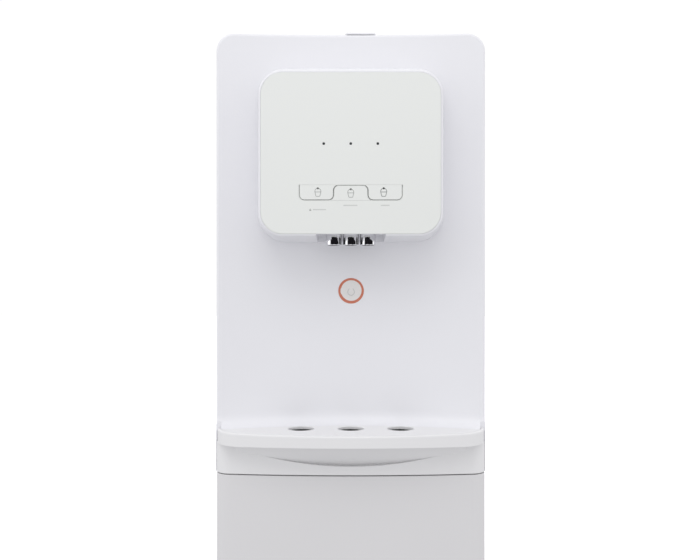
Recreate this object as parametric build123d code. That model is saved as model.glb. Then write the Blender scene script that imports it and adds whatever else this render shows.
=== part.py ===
from build123d import *
import math
import os

# A countertop water dispenser.  X is the width, the front faces -Y, Z is up, and the
# origin is on the surface that the feet stand on, in the middle.  Millimetres.

# Cabinet
cabinet_width = 270.0
cabinet_height = 552.0
overall_depth = 430.0          # nose of the drip ledge to the wall spacers
foot_height = 12.0
foot_radius = 14.0
plinth_height = 20.0           # lower edge of the side and lower front covers
parting_height = 112.0         # seam between the lower front and the drawer
shelf_height = 156.0           # top of the drip shelf
top_corner_radius = 18.0       # top corners, seen from the front
edge_radius = 2.5              # rounding round the front panel
moulding = 3.0                 # wall of the front mouldings
cover_wall = 2.5               # wall of the top cover, head and lid
side_wall = 2.0
sheet = 1.5                    # steel of the pan, the deck and the back
seam = 0.5                     # gap between neighbouring covers
body_gap = 0.4                 # gap between a moving piece and its neighbour
running_gap = 0.05             # radial gap of a pin or a neck in its hole

# Front panel and drip ledge
front_rim = 60.0               # depth of the front panel's sides and top
recess_top = 6.5               # how far the wall is dished, at the top
recess_shelf = 26.0            # and at the shelf
cove_radius = 12.0
ledge_reach = 50.0             # nose of the ledge, ahead of the front corners
ledge_corner = 35.0
ledge_inset = 2.0              # ledge inside the cabinet's width, each side
lip_reach = 20.0               # lower front, ahead of the front corners
lip_corner = 16.0
lip_start = 3.0                # the lower front's corners start behind the corner plane
lip_inset = 0.5
nose_side = 13.2               # height of the ledge's nose at its ends
nose_middle = 11.4             # and in the middle
scoop_end = 20.0               # ends of the finger scoop inside the cabinet's width
scoop_low = 121.0              # lower edge of the finger scoop, in the middle
scoop_end_rise = 3.5           # opening of the scoop at its ends
ledge_edge = 2.0               # rounding of the ledge's upper edge
seam_edge = 0.7                # rounding along the seam below the drawer
scoop_mouth_depth = 7.0        # scoop behind the lower front, at its lower edge
scoop_roof_depth = 14.0        # and behind the nose, at its upper edge

# Drip shelf holes, on the nozzles' line
outlet_pitch = 49.5
drain_hole_radius = 13.0
nozzle_setback = 46.0          # nozzle line behind the ledge's nose

# Drip drawer
basin_half_width = 97.0
basin_wall = 2.0
basin_back_gap = 95.0          # back of the basin behind the front corners

# Head
head_width = 173.0
head_height = 155.0
head_corner = 21.0
head_clearance = 192.0         # shelf to the lower edge of the face plate
head_reach = 37.0              # face plate ahead of the front corners
head_rim = 2.0                 # visible rim round the face plate
flare_side = 5.5
flare_top = 14.0
flare_bottom = 3.5
plate_thickness = 3.0
plate_gap = 0.15               # plate in its pocket, each side

# Keys and lamps
key_pitch = 33.0
key_height = 15.2
key_gap = 1.0                  # open slot round a key
key_hinge_gap = 0.1            # tight gap on its hinge side
key_relief = 0.5               # back of the hinge edge, cut back so that the key can tilt
key_corner = 5.0
key_cusp = 2.5                 # how far a key's hinge end reaches past the slot's middle
slot_depth = 1.3               # depth of the slot, down to the lip that closes it
slot_leak = 0.35               # gap between a key and that lip
key_rise = 31.9                # lower edge of the keys above the plate's lower edge
lamp_pitch = 25.9
lamp_rise = 86.5
lamp_radius = 1.35
board_width = 138.0
board_height = 78.0
board_thickness = 1.6

# Nozzles
nozzle_radius = 8.0
nozzle_wall = 1.8
nozzle_gap = 1.0               # between neighbouring nozzles
nozzle_drop = 9.5              # nozzle tips below the face plate
barb_radius = 4.5
hose_wall = 1.9
notch_half_width = 33.5
notch_depth = 32.0
notch_rise = 1.5               # floor of the nozzles' block above the plate's lower edge

# Tanks and valves
deck_height = 225.0
cold_tank_radius = 55.0
cold_tank_height = 168.0
cold_insulation = 17.0
hot_tank_radius = 42.0
hot_tank_height = 140.0
hot_insulation = 5.0
tank_wall = 1.0
jacket_wall = 2.0
tank_gap = 6.0                 # insulation to the side panels
tube_radius = 4.8
tube_bore = 3.1
valve_height = 397.0
valve_margin = 8.0             # valve body beyond its outer inlets
coil_pitch = 45.0

# Filters
filter_radius = 27.0
filter_pitch = 72.0
filter_length = 238.0
filter_neck = 19.9
filter_row_gap = 77.0          # filter row ahead of the back panel
filter_margin = 4.0            # manifold beyond a cartridge

# Cooling
compressor_radius = 56.0
compressor_height = 140.0
compressor_foot = 66.0         # half of its base plate
wall_standoff = 19.0           # back panel to the wall spacers' ends
coil_run = 95.0                # half length of a condenser pass
coil_radius = 2.4
coil_step = 28.0
coil_passes = 11
coil_low = 190.0
wire_radius = 0.75
wire_step = 8.0
wire_count = 21
bracket_width = 8.0

# Lid
lid_half_width = 108.0
lid_front_gap = 12.0           # lid's front edge behind the front panel's rim
lid_rear_gap = 22.0            # lid's rear edge ahead of the back panel
lid_thickness = 3.2
lid_pin_radius = 1.8
tab_width = 31.0
tab_offset = 10.0
tab_height = 2.2

# Back fittings
drain_height = 52.0
drain_radius = 6.0
drain_bore = 4.0
plug_radius = 9.0
hot_drain_offset = -18.0       # drains and supplies beside the tanks' middles
hot_supply_offset = 18.0
cold_drain_offset = -24.0
socket_offset = 37.0           # mains socket beside the cold drain
rocker_offset = 33.0           # rockers beside the socket
inlet_offset = 26.0            # water inlet beside the socket
inlet_height = 150.0
inlet_bore = 3.2
inlet_depth = 16.0             # how far a water tube pushes in
inlet_throat = 2.4             # narrower passage behind it
socket_height = 85.0
rocker_spread = 13.5
rocker_radius = 9.4
rocker_width = 12.0
rocker_tilt = 8.0

# Worked-out places
half_width = cabinet_width / 2
inner_half = half_width - side_wall
front_y = -overall_depth / 2
rear_y = overall_depth / 2
corner_y = front_y + ledge_reach
rim_y = corner_y + front_rim
back_y = rear_y - wall_standoff                # outer face of the back panel
back_in = back_y - sheet                       # inner face of the back panel
nozzle_y = front_y + nozzle_setback
shelf_bottom = shelf_height - moulding
drawer_bottom = parting_height + seam
plate_y = corner_y - head_reach                # front of the face plate
plate_back = plate_y + plate_thickness
face_low = shelf_height + head_clearance
face_mid = face_low + head_height / 2
pan_top = foot_height + sheet
deck_top = deck_height + sheet
cold_outer = cold_tank_radius + cold_insulation + jacket_wall
hot_outer = hot_tank_radius + hot_insulation + jacket_wall
cold_x = inner_half - tank_gap - cold_outer
hot_x = -(inner_half - tank_gap - hot_outer)
tank_y = corner_y + recess_shelf + 37 + cold_outer
valve_y = corner_y + 43.0
filter_row_y = back_y - filter_row_gap
manifold_front = filter_row_y - filter_radius - filter_margin
manifold_back = filter_row_y + filter_radius + filter_margin
manifold_top = deck_top + 31.5
hot_supply_x = hot_x + hot_supply_offset
hot_drain_x = hot_x + hot_drain_offset
cold_drain_x = cold_x + cold_drain_offset
valve_half_width = max(-hot_supply_x, cold_x) + valve_margin
socket_x = cold_drain_x + socket_offset
rocker_x = socket_x + rocker_offset
inlet_x = socket_x + inlet_offset
manifold_half = max(filter_pitch + filter_radius + 6, valve_margin - hot_x, valve_margin + inlet_x)
compressor_x = -(inner_half - 12 - compressor_foot)
compressor_y = back_in - 17 - compressor_foot
lid_front = rim_y + lid_front_gap
lid_rear = back_y - lid_rear_gap
lid_axis_y = lid_rear - 3.0
lid_axis_z = cabinet_height - 2.7
nozzle_pitch = 2 * nozzle_radius + nozzle_gap
nozzle_bore = nozzle_radius - nozzle_wall
scoop_half_width = half_width - scoop_end
key_low = face_low + key_rise
key_high = key_low + key_height
water_names = ("hot", "ambient", "cold")


# Shapes that recur

def block(x0, x1, y0, y1, z0, z1):
    """A box between two corners."""
    return Pos((x0 + x1) / 2, (y0 + y1) / 2, (z0 + z1) / 2) * Box(x1 - x0, y1 - y0, z1 - z0)


def post(x, y, z0, z1, radius):
    """A round bar standing along Z."""
    return Pos(x, y, (z0 + z1) / 2) * Cylinder(radius, z1 - z0)


def rod_y(x, z, y0, y1, radius):
    """A round bar along Y."""
    return Pos(x, (y0 + y1) / 2, z) * Rot(90, 0, 0) * Cylinder(radius, y1 - y0)


def rod_x(y, z, x0, x1, radius):
    """A round bar along X."""
    return Pos((x0 + x1) / 2, y, z) * Rot(0, 90, 0) * Cylinder(radius, x1 - x0)


def across(y):
    """Drawing plane across the cabinet, seen from the front: X right, Z up."""
    return Plane(origin=(0, y, 0), x_dir=(1, 0, 0), z_dir=(0, -1, 0))


def panel(sketch, y0, y1):
    """A sketch drawn in X and Z, given thickness from y0 to y1."""
    return extrude(across(y1) * sketch, y1 - y0)


def rounded(x, z, width, height, radius):
    """A rounded rectangle about (x, z)."""
    return Pos(x, z) * RectangleRounded(width, height, radius)


def arch(width, low, high, radius):
    """An upright rectangle with its two top corners rounded."""
    shape = rounded(0, high - 2 * radius, width, 4 * radius, radius)
    middle = (low + high - radius) / 2
    return shape + Pos(0, middle) * Rectangle(width, high - radius - low) - Pos(
        0, low - 2 * radius) * Rectangle(2 * width, 4 * radius)


def hose(points, bend, radius, bore):
    """A tube along straight runs with round bends."""
    path = FilletPolyline(*points, radius=bend)
    start = Plane(origin=path @ 0, z_dir=path % 0)
    ring = start * (Circle(radius) - Circle(bore))
    return sweep(ring, path=path)


def bowed(half, start, reach, corner, inset):
    """Plan outline of a bowed front: sides, tangent corner arcs and one long bow."""
    half = half - inset
    reach = reach - inset
    corner = corner - inset
    centre_x = half - corner
    bow = (centre_x ** 2 + reach ** 2 - corner ** 2) / (2 * (reach - corner))
    lean = math.asin(centre_x / (bow - corner))
    tip_x = bow * math.sin(lean)
    tip_y = start - reach + bow * (1 - math.cos(lean))
    mid = (math.pi / 2 + lean) / 2
    mid_x = centre_x + corner * math.sin(mid)
    mid_y = start - corner * math.cos(mid)
    return ((half, start), (mid_x, mid_y), (tip_x, tip_y), (0, start - reach))


def bowed_face(outline, rear, z):
    """Plan of a bowed outline, closed by a straight line at the rear."""
    side, mid, tip, nose = outline
    with BuildSketch(Plane.XY.offset(z)) as plan:
        with BuildLine():
            Line((-side[0], rear), (-side[0], side[1]))
            ThreePointArc((-side[0], side[1]), (-mid[0], mid[1]), (-tip[0], tip[1]))
            ThreePointArc((-tip[0], tip[1]), nose, tip)
            ThreePointArc(tip, mid, side)
            Line(side, (side[0], rear))
            Line((side[0], rear), (-side[0], rear))
        make_face()
    return plan.sketch.face()


def ledge_outline(inset):
    """Plan of the drip ledge."""
    return bowed(half_width - ledge_inset, corner_y, ledge_reach, ledge_corner, inset)


def lip_outline(inset):
    """Plan of the lower front."""
    return bowed(half_width - lip_inset, corner_y + lip_start, lip_reach + lip_start,
                 lip_corner, inset)


def ledge_prism(inset, rear, z0, z1):
    return extrude(bowed_face(ledge_outline(inset), rear, z0), z1 - z0)


def lip_prism(inset, rear, z0, z1):
    return extrude(bowed_face(lip_outline(inset), rear, z0), z1 - z0)


# Front panel

def recess(z):
    """How deep the front wall is dished in the middle at a height."""
    share = (z - shelf_height) / (cabinet_height - shelf_height)
    return recess_shelf + share * (recess_top - recess_shelf)


def dished_plan(z, inset):
    """Plan of the front panel at a height: straight sides and back, dished front."""
    half = half_width - inset
    front = corner_y + inset
    with BuildSketch(Plane.XY.offset(z)) as plan:
        with BuildLine():
            Line((-half, rim_y), (-half, front))
            ThreePointArc((-half, front), (0, front + recess(z)), (half, front))
            Line((half, front), (half, rim_y))
            Line((half, rim_y), (-half, rim_y))
        make_face()
    return plan.sketch.face()


def dished_form(inset, low, high):
    """The front panel's outer form, or its inside when inset."""
    form = loft([dished_plan(low, inset), dished_plan(high, inset)], ruled=True)
    if top_corner_radius > inset:
        corners = form.edges().filter_by(Axis.Y).group_by(Axis.Z)[-1]
        form = fillet(corners, top_corner_radius - inset)
    return form


def shelf_seam(z, gap):
    """Plan behind the seam between the front panel's cove and the drip shelf."""
    side_y = corner_y - cove_radius - 1 - gap
    with BuildSketch(Plane.XY.offset(z)) as plan:
        with BuildLine():
            ThreePointArc((-half_width, side_y), (0, side_y + recess_shelf), (half_width, side_y))
            Line((half_width, side_y), (half_width, rim_y - 20))
            Line((half_width, rim_y - 20), (-half_width, rim_y - 20))
            Line((-half_width, rim_y - 20), (-half_width, side_y))
        make_face()
    return plan.sketch


def front_panel():
    form = dished_form(0, drawer_bottom, cabinet_height)
    form += extrude(shelf_seam(shelf_bottom, 0), moulding)
    wall_foot = corner_y + recess_shelf
    cove = [e for e in form.edges() if abs(e.center().Z - shelf_height) < 0.01
            and abs(e.center().Y - wall_foot) < 1 and e.length > half_width]
    form = fillet(cove, cove_radius)
    outline = []
    for edge in form.edges():
        box = edge.bounding_box()
        level = box.max.Z - box.min.Z < 0.01 and box.max.Z < cabinet_height - 1
        forward = box.max.Y < corner_y + recess_top + 0.6
        if box.min.Z > shelf_height - 0.5 and forward and not level:
            outline.append(edge)
    form = fillet(outline, edge_radius)
    form -= dished_form(moulding, drawer_bottom - 5, cabinet_height - moulding)
    opening = half_width - moulding
    form -= block(-opening, opening, front_y, rim_y + 1, drawer_bottom - 1, shelf_bottom)
    corner_waste = block(-half_width - 1, half_width + 1, front_y, corner_y - 0.01,
                         drawer_bottom - 1, shelf_height + cove_radius + 1)
    form -= corner_waste - ledge_prism(moulding + body_gap, rim_y, drawer_bottom - 2,
                                       shelf_height + cove_radius + 2)
    for x in nozzle_places():
        form -= rod_y(x, valve_height, corner_y - 10, corner_y + 40, barb_radius + hose_wall + 1)
    form -= rod_y(0, face_mid + 20, corner_y - 10, corner_y + 40, 9)
    for side in (-1, 1):
        x = side * (valve_half_width - 8)
        boss = rod_y(x, valve_height, corner_y + 8, valve_y - 12, 4)
        form += boss - dished_form(-5, drawer_bottom, cabinet_height - 1) + (
            boss & dished_form(1, drawer_bottom, cabinet_height - 1))
    return form


def drip_shelf():
    """Perforated shelf between the cove and the drawer's nose."""
    plate = ledge_prism(moulding + body_gap, rim_y - 30, shelf_bottom, shelf_height)
    plate -= extrude(shelf_seam(shelf_bottom - 1, 0.15), moulding + 2)
    for x in outlet_places():
        plate -= post(x, nozzle_y, shelf_bottom - 1, shelf_height + 1, drain_hole_radius)
    rims = [e for e in plate.edges().filter_by(GeomType.CIRCLE)
            if abs(e.radius - drain_hole_radius) < 0.01 and e.center().Z > shelf_height - 0.1]
    return fillet(rims, 1.0)


def lower_front_panel():
    """Bowed cover below the drawer, open at the back and underneath."""
    top = parting_height - seam
    cover = lip_prism(0, rim_y, plinth_height, top)
    cover = fillet(front_edges(cover, top), seam_edge)
    return cover - lip_prism(moulding, rim_y + 1, plinth_height - 1, top - moulding)


# Drip drawer

def front_edges(form, z):
    """The bowed edges of a form at a height."""
    return [e for e in form.edges() if e.geom_type == GeomType.CIRCLE
            and abs(e.center().Z - z) < 0.01]


def scoop_face(roof_side, roof_middle, floor_side, floor_middle):
    """Lens between the underside of the nose and the top of the lip."""
    with BuildSketch() as lens:
        with BuildLine():
            ThreePointArc((-scoop_half_width, roof_side), (0, roof_middle),
                          (scoop_half_width, roof_side))
            Line((scoop_half_width, roof_side), (scoop_half_width, floor_side))
            ThreePointArc((scoop_half_width, floor_side), (0, floor_middle),
                          (-scoop_half_width, floor_side))
            Line((-scoop_half_width, floor_side), (-scoop_half_width, roof_side))
        make_face()
    return lens.sketch


def chute_form(inset, low, high):
    """Raked form behind the finger scoop; it leans forward up to the nose."""
    rear = rim_y + basin_back_gap
    mouth = lip_outline(scoop_mouth_depth + inset)
    roof = ledge_outline(scoop_roof_depth + inset)
    roof_z = shelf_height - nose_middle
    form = loft([bowed_face(mouth, rear, scoop_low), bowed_face(roof, rear, roof_z)], ruled=True)
    form += extrude(bowed_face(mouth, rear, low), scoop_low - low)
    return form + extrude(bowed_face(roof, rear, roof_z), high - roof_z)


def drawer_form(inset, low, high):
    """The drawer front's form: nose above, lip below, scoop between."""
    rear = rim_y + inset
    side_z = shelf_height - nose_side + inset
    middle_z = shelf_height - nose_middle + inset
    below = scoop_face(side_z, middle_z, low - 60, low - 61)
    below += Pos(0, (side_z + low - 60) / 2) * Rectangle(2 * half_width, side_z - low + 60)
    under_nose = panel(below, front_y - 1, rear + 1)
    lens = panel(scoop_face(side_z, middle_z, side_z - scoop_end_rise - 2 * inset,
                            scoop_low - inset),
                 front_y - 1, rear + 1)
    nose = ledge_prism(inset, rear, low, high)
    lip = lip_prism(inset, rear, low, high)
    if inset == 0:
        nose = fillet(front_edges(nose, high), ledge_edge)
        lip = fillet(front_edges(lip, low), seam_edge)
    nose -= under_nose
    lip = (lip & under_nose) - lens
    chute = chute_form(inset * 1.3, low, high) & under_nose
    chute -= block(-half_width, half_width, rear, rear + 2 * basin_back_gap, 0, high)
    return nose + lip + chute


def drawer_front():
    shell = drawer_form(0, drawer_bottom, shelf_height)
    shell -= drawer_form(moulding, drawer_bottom + cover_wall, shelf_height + 1)
    return shell - block(-half_width, half_width, corner_y - seam, rim_y + 1,
                         drawer_bottom - 1, shelf_height + 1)


def basin_form(inset, low, high):
    """The basin's form: its front wall follows the back of the scoop."""
    half = basin_half_width - inset
    form = chute_form(moulding * 1.3 + 1 + inset, drawer_bottom, shelf_height)
    return form & block(-half, half, front_y, corner_y + basin_back_gap - inset, low, high)


def drip_basin():
    low = drawer_bottom + cover_wall
    high = shelf_bottom - 4
    return basin_form(0, low, high) - basin_form(basin_wall, low + basin_wall, high + 1)


def drawer_guide():
    """Fixed channel that the basin slides in."""
    floor_top = drawer_bottom + cover_wall - body_gap
    floor_low = floor_top - cover_wall + seam
    front = corner_y + 4
    rear = corner_y + basin_back_gap + 10
    span = half_width - moulding - 0.2
    channel = block(-span, span, front, rear, floor_low, floor_top)
    wall_in = basin_half_width + body_gap
    for side in (-1, 1):
        x0, x1 = sorted((side * wall_in, side * (wall_in + cover_wall)))
        channel += block(x0, x1, front, rear, floor_low, shelf_bottom)
    channel += block(-wall_in - 1, wall_in + 1, rear - cover_wall, rear, floor_low, shelf_bottom)
    return channel


# Covers and frame

def base_pan():
    rear = back_in - sheet - seam
    outer = lip_prism(moulding + seam, rear, foot_height, foot_height + 25)
    inner = lip_prism(moulding + seam + sheet, rear - sheet, pan_top, foot_height + 26)
    pan = outer - inner
    for x, y in foot_places():
        pan -= post(x, y, 0, 30, 4.2)
    for x, y in mount_places():
        pan -= post(x, y, 0, 30, 6.2)
    return pan


def foot_places():
    x = inner_half - 26
    return [(i * x, y) for i in (-1, 1) for y in (corner_y + 24, back_y - 26)]


def rubber_feet():
    feet = []
    for x, y in foot_places():
        foot = Pos(x, y, foot_height / 2) * Cone(foot_radius, foot_radius - 2, foot_height)
        foot += post(x, y, foot_height - 1, pan_top, 4)
        foot += post(x, y, pan_top, pan_top + 4, 5.5)
        feet.append(foot)
    return Compound(children=feet)


def side_panel(side):
    top = cabinet_height - 30 - seam
    wall = block(inner_half, half_width, rim_y + seam, back_in, plinth_height, top)
    wall += block(inner_half - 12, inner_half + 1, back_in - sheet, back_in, plinth_height, top)
    if side < 0:
        wall = mirror(wall, about=Plane.YZ)
    return wall


def top_cover():
    """Arched cover with a rebated lid opening and a rear drop."""
    low = cabinet_height - 30
    front = rim_y + seam
    cover = panel(arch(cabinet_width, low, cabinet_height, top_corner_radius), front, back_y)
    inner = arch(cabinet_width - 2 * cover_wall, low - 1, cabinet_height - cover_wall,
                 top_corner_radius - cover_wall)
    cover -= panel(inner, front - 1, back_y - cover_wall)
    ring_low = cabinet_height - 8.5
    cover += block(-lid_half_width - 4, lid_half_width + 4, lid_front - 4, lid_rear + 5,
                   ring_low, cabinet_height - 1)
    ledge_top = cabinet_height - lid_thickness - body_gap
    gap = body_gap
    cover -= block(-lid_half_width - gap, lid_half_width + gap, lid_front - gap,
                   lid_rear + 1.5, ledge_top, cabinet_height + 1)
    cover -= block(-lid_half_width + 5, lid_half_width - 5, lid_front + 5, lid_rear + 1.5,
                   ring_low - 1, cabinet_height + 1)
    cover -= block(-lid_half_width - gap, lid_half_width + gap, lid_axis_y - 7, lid_rear + 1.5,
                   ring_low - 1, cabinet_height + 1)
    for side in (-1, 1):
        x0, x1 = sorted((side * (lid_half_width - 1), side * (lid_half_width + 3.2)))
        cover -= rod_x(lid_axis_y, lid_axis_z, x0, x1, lid_pin_radius + running_gap)
    return cover


def top_lid():
    top = cabinet_height
    slab = block(-lid_half_width, lid_half_width, lid_front, lid_rear, top - lid_thickness, top)
    rear_edges = slab.edges().filter_by(Axis.X).group_by(Axis.Y)[-1]
    slab = fillet(rear_edges, 1.4)
    for side in (-1, 1):
        x0, x1 = sorted((side * (lid_half_width - 8), side * (lid_half_width + 2.8)))
        slab += rod_x(lid_axis_y, lid_axis_z, x0, x1, lid_pin_radius)
    tab_front = corner_y + recess_top + 1
    tab_low = tab_offset - tab_width / 2
    tab_high = tab_offset + tab_width / 2
    tab = block(tab_low, tab_high, tab_front, lid_front + 8, top + body_gap, top + tab_height)
    tab = fillet(tab.edges().filter_by(Axis.Z), 3)
    tab = fillet(tab.faces().sort_by(Axis.Z)[-1].edges(), 0.8)
    slab += tab + block(tab_low + 4, tab_high - 4, lid_front + 1, lid_front + 7, top - 1, top + 1)
    return slab


def rear_panel():
    """Louvred steel back with holes for the fittings."""
    half = half_width - 0.3
    back = block(-half, half, back_in, back_y, plinth_height, cabinet_height - 30 - seam)
    for row in range(7):
        z = 60 + row * 9
        back -= panel(rounded(-62, z, 70, 3.4, 1.6), back_in - 1, back_y + 1)
    for row in range(5):
        z = cabinet_height - 52 - row * 9
        for x in (-60, 60):
            back -= panel(rounded(x, z, 70, 3.4, 1.6), back_in - 1, back_y + 1)
    for x in drain_places():
        back -= rod_y(x, drain_height, back_in - 1, back_y + 1, drain_radius + 0.2)
    back -= rod_y(inlet_x, inlet_height, back_in - 1, back_y + 1, 9.2)
    back -= panel(rounded(socket_x, socket_height, 28, 21, 2), back_in - 1, back_y + 1)
    for z in rocker_places():
        back -= panel(rounded(rocker_x, z, 15.4, 21.6, 1), back_in - 1, back_y + 1)
    for z in coil_ends():
        back -= rod_y(-coil_run - 14, z, back_in - 1, back_y + 1, coil_radius + 1)
    for x, z in screw_places():
        back -= rod_y(x, z, back_in - 1, back_y + 1, 1.7)
    return back


def screw_places():
    x = inner_half - 6
    low = plinth_height + 12
    high = cabinet_height - 30 - seam - 12
    step = (high - low) / 4
    return [(i * x, low + n * step) for i in (-1, 1) for n in range(5)]


def rear_screws():
    """Pan-head screws through the back into the side panels' flanges."""
    screws = []
    for x, z in screw_places():
        head = rod_y(x, z, back_y, back_y + 2.4, 3.4)
        head = fillet(head.edges().group_by(Axis.Y)[-1], 1.2)
        head -= block(x - 2.4, x + 2.4, back_y + 1.2, back_y + 3, z - 0.4, z + 0.4)
        head -= block(x - 0.4, x + 0.4, back_y + 1.2, back_y + 3, z - 2.4, z + 2.4)
        screws.append(head + rod_y(x, z, back_in, back_y + 0.5, 1.5))
    return Compound(children=screws)


def tank_deck():
    """Steel shelf that carries the tanks and the filters."""
    front = rim_y + 2 * seam
    rear = manifold_back + 10
    half = inner_half - 0.3
    deck = block(-half, half, front, rear, deck_height, deck_top)
    for side in (-1, 1):
        x0, x1 = sorted((side * half, side * (half - sheet)))
        deck += block(x0, x1, front, rear, deck_height - 14, deck_height + 0.5)
    for x, y, radius in tank_stubs():
        deck -= post(x, y, deck_height - 2, deck_top + 2, radius + 2.5)
    deck -= post(0, filter_row_y, deck_height - 2, deck_top + 2, tube_radius + 1)
    return deck


# Head

def head_section(y, inset):
    """Rounded section of the head; it flares towards the wall."""
    share = (y - plate_y) / (corner_y + 12 - plate_y)
    width = head_width + 2 * head_rim + 2 * flare_side * share
    low = face_low - head_rim - flare_bottom * share
    high = face_low + head_height + head_rim + flare_top * share
    radius = head_corner + head_rim + 5 * share
    return across(y) * rounded(0, (low + high) / 2, width - 2 * inset, high - low - 2 * inset,
                               radius - inset)


def head_form(y0, y1, inset):
    return loft([head_section(y0, inset).face(), head_section(y1, inset).face()], ruled=True)


def head_housing():
    wall_back = corner_y + recess_shelf
    shell = head_form(plate_y + 0.5, wall_back, 0)
    rim = shell.faces().sort_by(Axis.Y)[0].edges()
    shell = fillet(rim, head_rim - 0.2)
    seat = plate_back + 0.2
    shell -= head_form(seat + cover_wall, wall_back + 0.01, cover_wall)
    gap = plate_gap
    pocket = rounded(0, face_mid, head_width + 2 * gap, head_height + 2 * gap, head_corner + gap)
    shell -= panel(pocket, plate_y - 1, seat)
    window = rounded(0, face_mid, head_width - 7, head_height - 7, head_corner - 3.5)
    shell -= panel(window, plate_y - 1, seat + cover_wall + 1)
    shell -= block(-notch_half_width, notch_half_width, plate_y - 1, seat + cover_wall + 1,
                   face_low - 20, face_low + 1)
    shell -= block(-notch_half_width, notch_half_width, seat + cover_wall, notch_back(),
                   face_low - 20, face_low + 6)
    return shell - dished_form(0, drawer_bottom, cabinet_height + 5)


def notch_back():
    """Rear edge of the notch under the head that the nozzles come down through."""
    return nozzle_y + notch_depth / 2


def face_plate():
    plate = panel(rounded(0, face_mid, head_width, head_height, head_corner), plate_y, plate_back)
    plate = fillet(plate.faces().sort_by(Axis.Y)[0].edges(), 0.5)
    plate -= panel(key_slot(), plate_y - 1, plate_y + slot_depth)
    for index in range(3):
        plate -= panel(key_outline(index, 0), plate_y - 1, plate_y + slot_depth)
        plate -= panel(offset(key_outline(index, key_hinge_gap), slot_leak, kind=Kind.ARC),
                       plate_y + slot_depth - 0.1, plate_back + 1)
    for x in lamp_places():
        plate -= rod_y(x, face_low + lamp_rise, plate_y - 1, plate_back + 1, lamp_radius)
    return plate


def lamp_places():
    return [(i - 1) * lamp_pitch for i in range(3)]


def key_slot():
    """The slot round the keys: one winding line of even width.

    It passes under the outer keys, which hinge along their upper edges, and over the
    middle one, which hinges along its lower edge."""
    end = 1.5 * key_pitch
    step = key_pitch / 2
    floor = key_low + key_gap / 2
    crest = key_high - key_gap / 2
    corners = [(-end, key_high), (-end, floor), (-step, floor), (-step, crest), (step, crest),
               (step, floor), (end, floor), (end, key_high)]
    return trace(FilletPolyline(*corners, radius=key_corner), key_gap)


def key_outline(index, gap):
    """A key beside the slot; gap parts its hinge edge from the plate."""
    x = (index - 1) * key_pitch
    reach = key_pitch + 2 * key_cusp - 2 * gap
    fields = Pos(x, (key_low + key_high) / 2) * Rectangle(reach, key_height) - key_slot()
    if index != 1:
        limit = Pos(x, (key_low + key_high) / 2 - gap) * Rectangle(2 * reach, key_height)
    else:
        limit = Pos(x, (key_low + key_high) / 2 + gap) * Rectangle(2 * reach, key_height)
    return (fields & limit).faces().sort_by(SortBy.AREA)[-1]


def key(index):
    """Push key with the post that works its switch."""
    up = index != 1
    plate = panel(key_outline(index, key_hinge_gap), plate_y, plate_back)
    hinge_edges = plate.edges().filter_by(Axis.X).group_by(Axis.Z)[-1 if up else 0]
    back_edge = hinge_edges.sort_by(Axis.Y)[-1]
    hinge_face = plate.faces().filter_by(Axis.Z).sort_by(Axis.Z)[-1 if up else 0]
    plate = chamfer(back_edge, plate_thickness - 0.6, key_relief, reference=hinge_face)
    x = (index - 1) * key_pitch
    return plate + rod_y(x, switch_height(index), plate_back - 0.5, board_front() - 4.6, 2.2)


def switch_height(index):
    """Switches sit under the free ends of the keys."""
    return key_low + 4.5 if index != 1 else key_high - 4.5


def board_front():
    return plate_back + 11.0


def led_lenses():
    lenses = []
    for x in lamp_places():
        z = face_low + lamp_rise
        lens = rod_y(x, z, plate_y, plate_back + 1, lamp_radius - 0.02)
        lenses.append(lens + rod_y(x, z, plate_back, plate_back + 2.2, lamp_radius + 1))
    return Compound(children=lenses)


def control_board():
    """Board with its posts, chips and lamp bodies."""
    front = board_front()
    low = face_low + 20
    board = block(-board_width / 2, board_width / 2, front, front + board_thickness, low,
                  low + board_height)
    for x in (-board_width / 2 + 5, board_width / 2 - 5):
        for z in (low + 5, low + board_height - 5):
            board += rod_y(x, z, plate_back, front + 0.5, 3)
    for x in lamp_places():
        board += rod_y(x, face_low + lamp_rise, plate_back + 3, front + 0.5, 2.5)
    board += block(-52, -30, front + 1, front + 4.5, low + 34, low + 56)
    board += block(28, 54, front + 1, front + 9, low + 30, low + 42)
    return board


def tact_switches():
    front = board_front()
    switches = []
    for index in range(3):
        x = (index - 1) * key_pitch
        z = switch_height(index)
        body = block(x - 3, x + 3, front - 2.2, front, z - 3, z + 3)
        switches.append(body + rod_y(x, z, front - 3.2, front - 2, 1.7))
    return Compound(children=switches)


# Nozzles and valves

def nozzle_places():
    return [(i - 1) * nozzle_pitch for i in range(3)]


def outlet_places():
    return [(i - 1) * outlet_pitch for i in range(3)]


def nozzle_block():
    """Plastic block seated on the head's floor; the nozzles pass through it."""
    front = plate_back + 0.2 + cover_wall
    body = block(-notch_half_width - 9, notch_half_width + 9, front, notch_back() + 3,
                 face_low - 10, face_low + 16)
    body &= head_form(front, corner_y + recess_shelf, cover_wall)
    body -= block(-notch_half_width, notch_half_width, front - 1, notch_back(),
                  face_low - 20, face_low + notch_rise)
    for x in nozzle_places():
        body -= post(x, nozzle_y, face_low, face_low + 30, nozzle_radius + 0.05)
    return body - dished_form(0, drawer_bottom, cabinet_height)


def nozzle(index):
    """Chromed spout with a hose barb on top."""
    low = face_low - nozzle_drop
    high = face_low + 18
    x = nozzle_places()[index]
    spout = post(x, nozzle_y, low, high, nozzle_radius)
    spout = chamfer(spout.edges().group_by(Axis.Z)[0], 0.6)
    spout = fillet(spout.edges().group_by(Axis.Z)[-1], 1.5)
    spout += post(x, nozzle_y, high - 1, high + 13, barb_radius)
    spout -= post(x, nozzle_y, low - 1, high - 3, nozzle_bore)
    return spout - post(x, nozzle_y, high - 4, high + 14, 3)


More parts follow.
